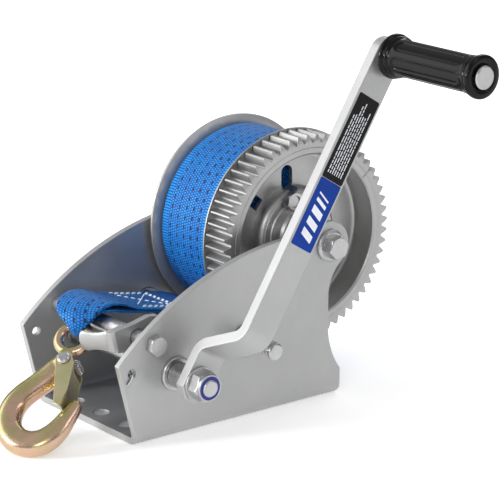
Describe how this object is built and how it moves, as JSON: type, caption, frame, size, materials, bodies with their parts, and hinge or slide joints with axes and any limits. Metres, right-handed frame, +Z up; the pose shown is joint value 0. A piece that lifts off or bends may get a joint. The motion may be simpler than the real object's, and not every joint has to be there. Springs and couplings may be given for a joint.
{
  "type": "boat trailer winch",
  "caption": "Hand-cranked gear winch in a folded steel frame, with a drum of blue webbing, a rocking pawl and a snap hook.",
  "frame": {"origin": "middle of the underside of the frame's base, which bolts to the trailer post", "axes": "+Z up from the base; +X towards the crank, along the drum axle; -Y towards the hook, the way the strap leaves"},
  "size_m": [0.2872, 0.317, 0.2692],
  "materials": {
    "zinc_plate": "satin zinc plate on folded sheet",
    "zinc_cast": "satin zinc plate on a casting",
    "bright_steel": "bright zinc-plated steel",
    "gear_steel": "zinc-plated machined gear",
    "bush_nylon": "natural nylon",
    "insert_nylon": "blue nylon",
    "strap_blue": "woven blue polyester webbing",
    "grip_black": "satin black moulded plastic",
    "label": "printed vinyl",
    "gold_zinc": "yellow passivated zinc on forged steel",
    "latch_gold": "pale yellow zinc on sheet steel"
  },
  "bodies": {
    "frame": {"frame_channel": "zinc_plate", "tie_rod": "bright_steel", "tie_rod_bolts": "bright_steel", "drum_axle_bolt": "bright_steel", "drum_axle_nut": "bright_steel", "axle_washer": "bright_steel", "axle_sleeve": "bright_steel", "crank_shaft_bushes": "bright_steel", "layshaft_bushes": "bright_steel", "strap_lead": "strap_blue", "pawl_spring": "bright_steel"},
    "drum": {"drum_gear": "zinc_cast", "drum_left_flange": "zinc_plate", "drum_core": "bright_steel", "drum_bushes": "bush_nylon", "strap_wound": "strap_blue", "strap_anchor_bolt": "bright_steel", "strap_anchor_nut": "bright_steel"},
    "layshaft": {"layshaft": "bright_steel", "layshaft_pinion": "gear_steel", "layshaft_gear": "gear_steel", "layshaft_clip": "bright_steel"},
    "crank": {"crank_shaft": "bright_steel", "crank_pinion": "gear_steel", "ratchet_wheel": "gear_steel", "crank_spacer": "bright_steel", "crank_shaft_clip": "bright_steel", "crank_arm": "zinc_plate", "crank_washer": "bright_steel", "crank_lock_nut": "bright_steel", "lock_nut_insert": "insert_nylon", "arm_label": "label", "grip_pin": "bright_steel", "grip_washer": "bright_steel"},
    "grip": {"grip": "grip_black"},
    "pawl": {"ratchet_pawl": "zinc_plate"},
    "hook": {"hook": "gold_zinc", "latch_rivet": "bright_steel", "latch_spring": "bright_steel"},
    "latch": {"hook_latch": "latch_gold"}
  },
  "joints": [
    {"name": "drum_spin", "type": "hinge", "parent": "frame", "child": "drum", "pos_m": [0, 0.0775, 0.1105], "axis": [1, 0, 0], "continuous": true},
    {"name": "layshaft_spin", "type": "hinge", "parent": "frame", "child": "layshaft", "pos_m": [0, 0.00387, 0.0566], "axis": [1, 0, 0], "continuous": true},
    {"name": "crank_spin", "type": "hinge", "parent": "frame", "child": "crank", "pos_m": [0, -0.055, 0.045], "axis": [1, 0, 0], "continuous": true},
    {"name": "grip_spin", "type": "hinge", "parent": "crank", "child": "grip", "pos_m": [0.16, 0.07626, 0.25424], "axis": [1, 0, 0], "continuous": true},
    {"name": "pawl_rock", "type": "hinge", "parent": "frame", "child": "pawl", "pos_m": [0.038, -0.072, 0.0685], "axis": [1, 0, 0], "range_deg": [-12, 12], "deforming": ["pawl_spring"]},
    {"name": "hook_swing", "type": "hinge", "parent": "frame", "child": "hook", "pos_m": [-0.0074, -0.0862, 0.0675], "axis": [-0.866, -0.5, 0], "range_deg": [-10, 40]},
    {"name": "latch_swing", "type": "hinge", "parent": "hook", "child": "latch", "pos_m": [0.00933, -0.10719, 0.04706], "axis": [-0.3051, 0.5284, -0.7923], "range_deg": [0, 30], "stiffness_Nm_per_rad": 0.02, "springref_deg": -22.92, "deforming": ["latch_spring"]}
  ],
  "couplings": [
    {"joint": "layshaft_spin", "follows": "drum_spin", "ratio": -3.5625},
    {"joint": "crank_spin", "follows": "drum_spin", "ratio": 8.6518}
  ]
}
